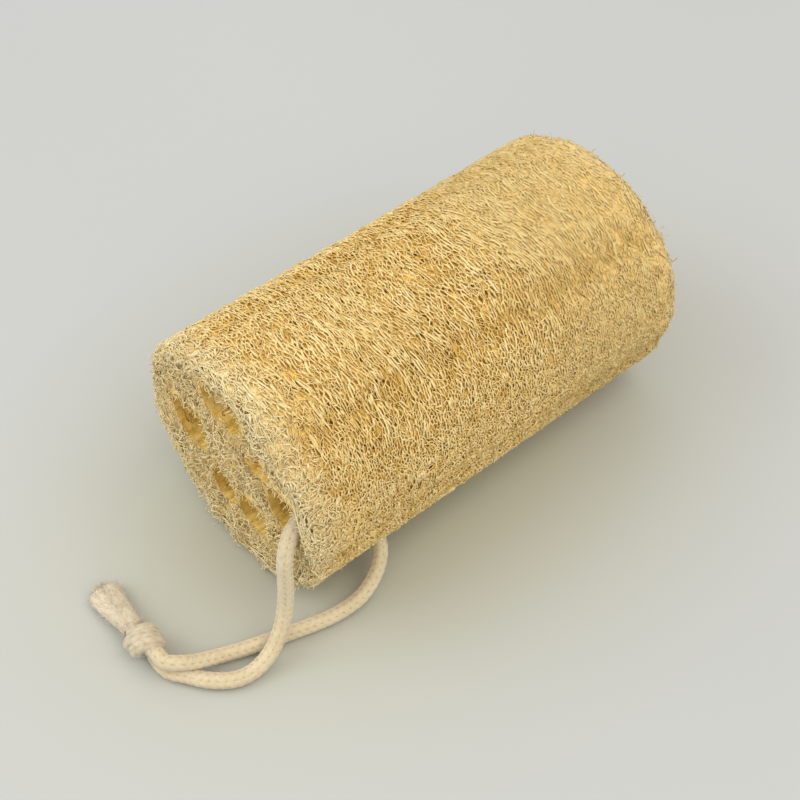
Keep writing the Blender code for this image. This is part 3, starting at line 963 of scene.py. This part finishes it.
def floor_material():
    """A pale surface, painted warmer close by the loofah as the light that the loofah reflects onto it and
    into its shadow.
    """
    material, tree, shader = new_material("pale_floor", 0.6)
    broad = noise_node(tree, 3.0, 1.0)
    tone = ramp_node(tree, broad, (0.3, (0.435, 0.44, 0.44)), (0.7, (0.455, 0.46, 0.465)))
    place = tree.nodes.new("ShaderNodeTexCoord")
    mapping = tree.nodes.new("ShaderNodeMapping")
    mapping.inputs["Location"].default_value = (0.0, 0.12, 0.0)
    mapping.inputs["Scale"].default_value = (1 / PAINTED_BOUNCE_REACH[0], 1 / PAINTED_BOUNCE_REACH[1], 0.0)
    tree.links.new(place.outputs["Object"], mapping.inputs["Vector"])
    nearness = tree.nodes.new("ShaderNodeTexGradient")
    nearness.gradient_type = "SPHERICAL"
    tree.links.new(mapping.outputs["Vector"], nearness.inputs["Vector"])
    # Painted reflected light: the floor turns warmer towards the loofah.
    painted_bounce = (0.0, WHITE), (0.3, (1.0, 0.997, 0.93)), (0.5, (1.0, 0.985, 0.85)), (0.7, (1.0, 0.97, 0.77))
    colour = shaded(tree, tone, nearness.outputs["Fac"], *painted_bounce)
    tree.links.new(colour, shader.inputs["Base Color"])
    return material


# Pieces


def canal_cutter(name):
    along = np.linspace(1, -1, 61) * (HALF_LENGTH + 4)
    y, angle = np.meshgrid(along, full_turn(CUTTER_SIDES), indexing="ij")
    reach = canal_reach(name, angle, mouth(y)) * (1 + 0.02 * np.sin(4 * angle - 0.16 * y))
    return loft(f"cutter_{name}", canal_points(name, angle, reach, y))


def hollow_cutter():
    depth, angle = np.meshgrid(np.linspace(1, -0.5, 10), full_turn(CUTTER_SIDES), indexing="ij")
    reach = oval_reach(angle, *HOLLOW_SIZE, 2.0) * np.sqrt(np.clip(1 - depth**3, 0.02, 1))
    x = HOLLOW_CENTRE[0] + reach * np.cos(angle)
    z = HOLLOW_CENTRE[1] + reach * np.sin(angle)
    return loft("cutter_hollow", np.stack([x, HOLLOW_DEPTH * depth - HALF_LENGTH, z], axis=-1))


def cord_cutter():
    """The cord's passage: in at the right canal's mouth and out through the wall."""
    route = np.concatenate([FRONT_PATH[::-1], SIDE_PATH])
    passed = (np.abs(route[:, 1]) < HALF_LENGTH + 6) & (route[:, 2] > 6)
    inner = route[passed][::3]
    points, triangles = tube_batch(inner[None], np.full((1, len(inner)), CORD_RADIUS + HOLE_CLEARANCE), 16)
    return mesh_object("cutter_cord", points, triangles)


def core_rings():
    """Rings from the middle of the far face, over the gourd's side, to the middle of the near face."""
    rng = np.random.default_rng(SEED)
    coarse = waves(rng, 14, 7.0)
    fine = waves(rng, 18, 2.8)
    turn = full_turn(CORE_COLUMNS)
    sides = np.linspace(HALF_LENGTH, -HALF_LENGTH, round(2 * HALF_LENGTH / CORE_STEP))
    inward = np.linspace(0, 1, round(HALF_WIDTH / CORE_STEP))[1:-1]
    rings = [(1.0, share) for share in inward[::-1]]
    rings += [(y / HALF_LENGTH, 0.0) for y in sides]
    rings += [(-1.0, share) for share in inward]
    points = []
    for place, share in rings:
        y = np.full_like(turn, place * HALF_LENGTH)
        at_rim = smooth_step((y - 48) / 18)
        depth = CORE_DEPTH * (1 - 0.6 * closed_at(y) - 0.45 * matted_at(y) - 0.07 * at_rim)
        ring = on_surface(turn, y, depth)
        relief = (0.12 * coarse(ring) + 0.22 * fine(ring)) * (1 - 0.6 * closed_at(y))
        ring = on_surface(turn, y, depth + relief)
        ring[:, 0] *= 1 - share
        ring[:, 2] = CENTRE_Z + (ring[:, 2] - CENTRE_Z) * (1 - share)
        face = smooth_step((abs(place) * HALF_LENGTH - HALF_LENGTH + 1.0) / 1.0)
        lip = smooth_step(canal_gap(*ring.T) / 2.6)
        level = (end_level(ring[:, 0], ring[:, 2], place) + 0.3 * fine(ring)) * lip
        ring[:, 1] += np.sign(place) * face * (level - 0.2 - CORE_RECESS * lip)
        points.append(ring)
    return np.array(points)


def make_core():
    core = loft("loofah_core", core_rings())
    cutters = [canal_cutter(name) for name in CANALS]
    cutters += [hollow_cutter(), cord_cutter()]
    for cutter in cutters:
        cut = core.modifiers.new(cutter.name, "BOOLEAN")
        cut.operation = "DIFFERENCE"
        cut.object = cutter
        cut.solver = "MANIFOLD"
    evaluated = core.evaluated_get(bpy.context.evaluated_depsgraph_get())
    mesh = bpy.data.meshes.new_from_object(evaluated)
    core.modifiers.clear()
    core.data = mesh
    for cutter in cutters:
        bpy.data.objects.remove(cutter, do_unlink=True)
    mesh.shade_smooth()
    mesh.set_sharp_from_angle(angle=math.radians(50))
    points = read(mesh.vertices, "co") / MM
    paint(core, "bleach", bleach_at(points))
    paint(core, "tone", shown_tone(points, 0.6))
    paint(core, "closed", 0.85 * closed_at(points[:, 1]))
    # How far in from the cut faces each point lies, for the canals' painted shade.
    paint(core, "inside", smooth_step((HALF_LENGTH - np.abs(points[:, 1]) - 1.5) / 11))
    gap = canal_gap(*(read(mesh.polygons, "center") / MM).T)
    along = np.abs(read(mesh.polygons, "normal")[:, 1])
    in_canal = (gap < 0.3) | ((gap < 0.9) & (along < 0.6))
    finish_piece(core, "loofah_fibre", "loofah", core_material(), canal_material())
    mesh.polygons.foreach_set("material_index", in_canal.astype(np.int32))


def tapered(rng, lines, thinnest, thickest, tip, tone):
    """One batch of loose fibres that thin towards their tips."""
    taper = np.linspace(1.1, tip, lines.shape[1])
    radii = rng.uniform(thinnest, thickest, (len(lines), 1)) * taper
    tones = tone + rng.normal(0, 0.15, (len(lines), 1)) + np.zeros(lines.shape[1])
    return lines, radii, tones


def kept_clear(lines):
    """The lines that nowhere come near the cord."""
    return lines[clear_of_cord(lines).all(axis=1)]


def end_mat(rng, outwards, count):
    """Cut fibres matted over one end, in the walls between its canals."""
    angle = rng.uniform(-np.pi, np.pi, count * 3)
    share = np.sqrt(rng.uniform(0, 1, count * 3))
    reach = oval_reach(angle, HALF_WIDTH, HALF_HEIGHT, ROUNDNESS) - 2.0
    x = reach * share * np.cos(angle)
    z = np.maximum(CENTRE_Z + reach * share * np.sin(angle), 1.4)
    apart = canal_gap(x, outwards, z)
    kept = apart > 0.25
    x, z, apart = x[kept], z[kept], apart[kept]
    step = 0.2
    slope_x = canal_gap(x + step, outwards, z) - canal_gap(x - step, outwards, z)
    slope_z = canal_gap(x, outwards, z + step) - canal_gap(x, outwards, z - step)
    size = np.hypot(slope_x, slope_z) + 1e-9
    round_it = rng.choice((-1.0, 1.0), len(x))
    pull = np.exp(-apart / 2.0) * 2.2
    way_x = rng.normal(0, 1, len(x)) - pull * round_it * slope_z / size
    way_z = rng.normal(0, 1, len(x)) + pull * round_it * slope_x / size
    level = end_level(x, z, outwards) + rng.uniform(-1.3, 0.6, len(x))
    start = np.stack([x, outwards * (HALF_LENGTH + level), z], axis=1)
    way = np.stack([way_x, outwards * rng.normal(0.15, 0.5, len(x)), way_z], axis=1)
    lines = curly_lines(rng, start, way, 0.42, rng.uniform(0.45, 0.9, len(x)), 6, 0.4)
    lines[..., 1] = outwards * np.minimum(outwards * lines[..., 1], HALF_LENGTH + level[:, None] + 1.5)
    outside = canal_gap(lines[..., 0], outwards, lines[..., 2]).min(axis=1) > -0.35
    lines = kept_clear(lines[outside])[:count]
    return [tapered(rng, lines, 0.14, 0.22, 0.75, 0.65)]


def rim_fray(rng, outwards, count):
    """Cut ends of the wall's fibres that stand out of one end along its rim."""
    angle = rng.uniform(-np.pi, np.pi, count)
    depth = rng.exponential(1.6, count) + 0.1
    y = outwards * (HALF_LENGTH - rng.uniform(0.3, 2.4, count))
    start = on_surface(angle, y, depth)
    way = tangent_way(angle) * rng.normal(0, 0.9, (count, 1))
    way += radial_way(angle) * rng.normal(0.3, 0.5, (count, 1))
    way[:, 1] = outwards * rng.uniform(0.2, 1.0, count)
    lines = curly_lines(rng, start, way, 0.42, rng.uniform(0.3, 0.7, count), 5, 0.3)
    lines[..., 1] = outwards * np.minimum(outwards * lines[..., 1], HALF_LENGTH + 1.7)
    return [tapered(rng, kept_clear(lines), 0.11, 0.18, 0.6, 0.6)]


def canal_fringe(rng, outwards):
    """Fibres that hang over each canal's edge at one end, like the teeth of a comb."""
    batches = []
    for name, (_, _, half_width, half_height) in CANALS.items():
        count = round(2 * np.pi * (half_width + half_height) / 2 / FRINGE_SPACING)
        angle = rng.uniform(-np.pi, np.pi, count)
        reach = oval_reach(angle, half_width, half_height, CANAL_ROUNDNESS) * (1 + CANAL_FLARE) + 0.4
        y = outwards * (HALF_LENGTH - rng.uniform(-0.4, 0.7, count))
        start = canal_points(name, angle, reach, y)
        from_above = smooth_step(0.5 + 0.8 * np.cos(angle - math.radians(62)))
        way = rng.normal(0, 0.3, start.shape) * (1 - 0.6 * from_above)[:, None] - radial_way(angle)
        way[:, 1] += outwards * rng.uniform(-0.3, 0.4, count)
        step = rng.uniform(0.14, 0.28, count) * (0.6 + 1.5 * from_above)
        batches.append(curly_lines(rng, start, way, 0.2, step, 5))
    return [tapered(rng, kept_clear(np.concatenate(batches)), 0.14, 0.22, 0.6, 0.85)]


def canal_lining(rng):
    """Fibres along the canals' walls, near both mouths."""
    batches = []
    for name, (_, _, half_width, half_height) in CANALS.items():
        count = round(14 * (half_width + half_height) / 2)
        angle = rng.uniform(-np.pi, np.pi, count)
        y = rng.choice((-1.0, 1.0), count) * (HALF_LENGTH - 0.8 - rng.exponential(6.0, count))
        turns = angle[:, None] + np.cumsum(rng.normal(0, 0.12, (count, 7)), axis=1)
        ys = y[:, None] + np.cumsum(rng.uniform(-0.3, 1.3, (count, 7)), axis=1)
        ys = np.clip(ys, -HALF_LENGTH, HALF_LENGTH)
        reach = canal_reach(name, turns, mouth(ys)) - rng.uniform(-0.2, 0.1, (count, 7))
        batches.append(canal_points(name, turns, reach, ys))
    return [tapered(rng, kept_clear(np.concatenate(batches)), 0.1, 0.16, 1.0, 0.55)]


def surface_fuzz(rng, count=FUZZ):
    """Loose fibre ends that stand off the outer net, most of them near its ends."""
    angle = rng.uniform(-np.pi, np.pi, count)
    y = rng.uniform(-HALF_LENGTH + 1, HALF_LENGTH - 1, count)
    by_rim = rng.random(count) < 0.5
    y = np.where(by_rim, np.sign(y) * (HALF_LENGTH - 0.5 - np.minimum(rng.exponential(4.0, count), 20)), y)
    start = on_surface(angle, y, 0.3)
    way = radial_way(angle) * rng.uniform(0.15, 0.8, (count, 1))
    way += tangent_way(angle) * rng.normal(0, 0.9, (count, 1))
    way[:, 1] = rng.normal(0, 0.5, count)
    lines = curly_lines(rng, start, way, 0.35, rng.uniform(0.25, 0.55, count), 4, 0.2)
    return [tapered(rng, kept_clear(lines), 0.1, 0.16, 0.5, 0.6)]


def make_loofah():
    outer_fibre = fibre_material("fibre_outer", *OUTER_FIBRE)
    under_fibre = fibre_material("fibre_under", *UNDER_FIBRE)
    make_core()
    tube_pieces("net_outer", gourd_net(1, *OUTER_NET), outer_fibre)
    tube_pieces("net_over", loose_strands(np.random.default_rng(SEED + 4)), outer_fibre)
    tube_pieces("net_under", gourd_net(2, *UNDER_NET), under_fibre)
    rng = np.random.default_rng(SEED + 3)
    for name, (outwards, nets, matted, frayed) in ENDS.items():
        fibres = []
        for net in nets:
            fibres += face_net(outwards, *net)
        fibres += end_mat(rng, outwards, matted)
        fibres += rim_fray(rng, outwards, frayed)
        fibres += canal_fringe(rng, outwards)
        tube_pieces(name, fibres, outer_fibre)
    canal_fibre = fibre_material("fibre_canal", *CANAL_FIBRE)
    tube_pieces("canal_lining", canal_lining(rng), canal_fibre)
    tube_pieces("net_fuzz", surface_fuzz(rng), outer_fibre)


def make_strand(name, route, cotton):
    points, triangles, tones = braided_tube(route, CORD_RADIUS)
    strand = mesh_object(name, points, triangles)
    # The braid's height as its tone, so its pits get painted shade.
    paint(strand, "tone", 0.8 * tones)
    finish_piece(strand, "cotton_cord", "cord_loop", cotton)


def make_knot(cotton):
    """Both strands wound round each other: wide wraps of cord over their own run."""
    share = np.linspace(0, 1, 130)
    turn = np.radians(-60) + share * 2 * np.pi * KNOT_TURNS
    ends = smooth_step(np.minimum(share, 1 - share) / 0.14)
    wrap = KNOT_WRAP * (0.35 + 0.65 * ends)
    x = KNOT_CENTRE[0] + 3.2 - 7.0 * share + 1.4 * np.sin(turn + 0.9)
    y = KNOT_CENTRE[1] + wrap * np.cos(turn)
    z = KNOT_CENTRE[2] + 0.1 + wrap * np.sin(turn)
    coil = np.stack([x, y, z], axis=1)
    parts = [braided_tube(coil, WRAP_RADIUS, flat=0.88, relief=0.2)]
    run_start = np.linspace(KNOT_RIGHT + 1, KNOT_LEFT + 0.3, 30)
    pull = smooth_step((KNOT_RIGHT - run_start) / 5)
    for height, sway in ((2.6, 0.4), (7.8, -0.4)):
        z = height + (KNOT_CENTRE[2] - height) * pull * 0.75
        through = np.stack([run_start, KNOT_CENTRE[1] + sway * pull, z], axis=1)
        parts.append(braided_tube(through, THROUGH_RADIUS, relief=0.25))
    starts = np.cumsum([0] + [len(points) for points, _, _ in parts])
    triangles = np.concatenate([faces + start for (_, faces, _), start in zip(parts, starts)])
    knot = mesh_object("cord_knot_wraps", np.concatenate([points for points, _, _ in parts]), triangles)
    # The knot's tone is set low: it is darker all over, and darkest in its braid's pits as painted shade.
    paint(knot, "tone", 0.1 + 0.4 * np.concatenate([tones for _, _, tones in parts]))
    return finish_piece(knot, "cotton_cord", "cord_knot", cotton)


def tail_surface(share, angle):
    """Points on the brush of the two cut ends, at this share of its length from the knot."""
    half_width = NECK_HALF_WIDTH + (TAIL_HALF_WIDTH - NECK_HALF_WIDTH) * smooth_step(1.2 * share)
    half_height = NECK_HALF_HEIGHT + (TAIL_HALF_HEIGHT - NECK_HALF_HEIGHT) * smooth_step(1.3 * share)
    reach = oval_reach(angle, half_width, half_height, 2.3) * (1 - 0.1 * np.abs(np.sin(angle)) ** 8)
    reach = reach * np.sqrt(np.clip(1 - smooth_step((share - 0.8) / 0.2) ** 2.5, 0.02, 1))
    x = KNOT_LEFT + 0.6 + (TAIL_END - KNOT_LEFT) * share
    y = KNOT_CENTRE[1] + TAIL_SWAY * share + reach * np.cos(angle)
    z = 0.25 + half_height + 1.9 * (1 - share) ** 2 + reach * np.sin(angle)
    return np.stack([x, y, z], axis=-1)


def make_tails(cotton):
    """Two cut ends side by side, unbraided into one soft brush with loose fibres round its end."""
    rng = np.random.default_rng(SEED + 5)
    share, angle = np.meshgrid(np.linspace(0, 1, 60), full_turn(110), indexing="ij")
    rings = tail_surface(share, angle)
    squeezed = rings.reshape(-1, 3) * (0.07, 1, 1)
    ridges = 0.4 * waves(rng, 30, 1.0)(squeezed) + 0.6 * waves(rng, 20, 2.6)(squeezed)
    ridges = ridges.reshape(share.shape)
    fade = smooth_step(share / 0.15) * 0.07
    outwards = rings - rings.mean(axis=1, keepdims=True)
    outwards /= np.linalg.norm(outwards, axis=2, keepdims=True) + 1e-9
    tail = loft("cord_tail", rings + outwards * (ridges * fade)[..., None])
    # Painted light: the brush grows paler towards its tip; its ridges are a little lighter than the hollows
    # between them, as painted shade.
    tones = 0.65 + 0.05 * ridges + 0.25 * smooth_step((share - 0.3) / 0.7)
    paint(tail, "tone", np.append(tones.ravel(), (0.9, 0.9)))
    finish_piece(tail, "cotton_cord", "cord_tails", cotton)
    share = np.clip(1 - rng.exponential(0.4, TAIL_HAIRS), 0.02, 0.98)
    angle = rng.uniform(-0.5, np.pi + 0.5, TAIL_HAIRS)
    start = tail_surface(share, angle)
    way = start - tail_surface(share, angle + np.pi)
    way /= np.linalg.norm(way, axis=1, keepdims=True) + 1e-9
    way = way * rng.uniform(0.05, 0.5, (TAIL_HAIRS, 1)) + rng.normal(0, 0.2, way.shape)
    way[:, 0] -= rng.uniform(0.5, 1.0, TAIL_HAIRS)
    lines = curly_lines(rng, start, way, 0.16, rng.uniform(0.3, 0.75, TAIL_HAIRS), 4, 0.15)
    lines[..., 0] = np.maximum(lines[..., 0], TAIL_END - 1.2)
    # Painted light: the hairs take the palest colour.
    hairs = [tapered(rng, lines, 0.04, 0.065, 0.5, 1.0)]
    return [tail, *tube_pieces("cord_tail_hairs", hairs, cotton, "cotton_cord", "cord_tails")]


def cord_hairs(cotton):
    """Loose cotton fibres that stand off the cord and soften its edge."""
    rng = np.random.default_rng(SEED + 6)
    batches = []
    for route in (FRONT_PATH, SIDE_PATH):
        count = round(len(route) * 1.6)
        along, side, upper = path_frames(route)
        at = rng.integers(2, len(route) - 2, count)
        turn = rng.uniform(0, 2 * np.pi, (count, 1))
        outwards = np.cos(turn) * side[at] + np.sin(turn) * upper[at]
        start = route[at] + outwards * (CORD_RADIUS - 0.35)
        way = outwards * rng.uniform(0.2, 0.9, (count, 1)) + along[at] * rng.normal(0, 1.0, (count, 1))
        batches.append(curly_lines(rng, start, way, 0.3, rng.uniform(0.25, 0.5, count), 4, 0.12))
    hairs = [tapered(rng, np.concatenate(batches), 0.035, 0.06, 0.6, 1.0)]
    tube_pieces("cord_hairs", hairs, cotton, "cotton_cord", "cord_loop")


def make_cords():
    cotton = cotton_material("cotton_cord", *COTTON)
    knot_and_tail_cotton = cotton_material("cotton_knot_and_tail", *KNOT_AND_TAIL_COTTON)
    knot = make_knot(knot_and_tail_cotton)
    tails = make_tails(knot_and_tail_cotton)
    make_strand("cord_front", FRONT_PATH, cotton)
    make_strand("cord_side", SIDE_PATH, cotton)
    cord_hairs(cotton)


def make_stage():
    bpy.ops.mesh.primitive_plane_add(size=4.0, location=(0, 0, 0))
    floor = bpy.context.object
    floor.name = "floor"
    floor.data.materials.append(floor_material())
    world = bpy.data.worlds.new("soft_room")
    bpy.context.scene.world = world
    world.use_nodes = True
    backdrop = world.node_tree.nodes["Background"]
    backdrop.inputs["Color"].default_value = ROOM_COLOUR
    backdrop.inputs["Strength"].default_value = ROOM_LIGHT
    for name, (place, power, colour) in LIGHTS.items():
        light = bpy.data.lights.new(name, "AREA")
        light.shape = "SQUARE"
        light.size = LIGHT_SIZE
        light.energy = power
        light.color = colour
        lamp = bpy.data.objects.new(name, light)
        lamp.location = place
        lamp.rotation_euler = (-Vector(place)).to_track_quat("-Z", "Y").to_euler()
        bpy.context.scene.collection.objects.link(lamp)
    bpy.context.scene.view_settings.view_transform = "Standard"


def make_camera():
    back = Vector(CAMERA_BACK).normalized()
    right = Vector((0, 0, 1)).cross(back).normalized()
    up = back.cross(right)
    turned_right = math.cos(CAMERA_ROLL) * right + math.sin(CAMERA_ROLL) * up
    turned_up = -math.sin(CAMERA_ROLL) * right + math.cos(CAMERA_ROLL) * up
    data = bpy.data.cameras.new("camera")
    data.lens = LENS
    data.sensor_width = 36.0
    camera = bpy.data.objects.new("camera", data)
    place = Vector(LOOK_AT) + back * CAMERA_DISTANCE
    camera.matrix_world = Matrix(
        [(turned_right[row], turned_up[row], back[row], place[row]) for row in range(3)] + [(0, 0, 0, 1)]
    )
    bpy.context.scene.collection.objects.link(camera)
    bpy.context.scene.camera = camera


make_camera()
make_cords()
make_loofah()
make_stage()
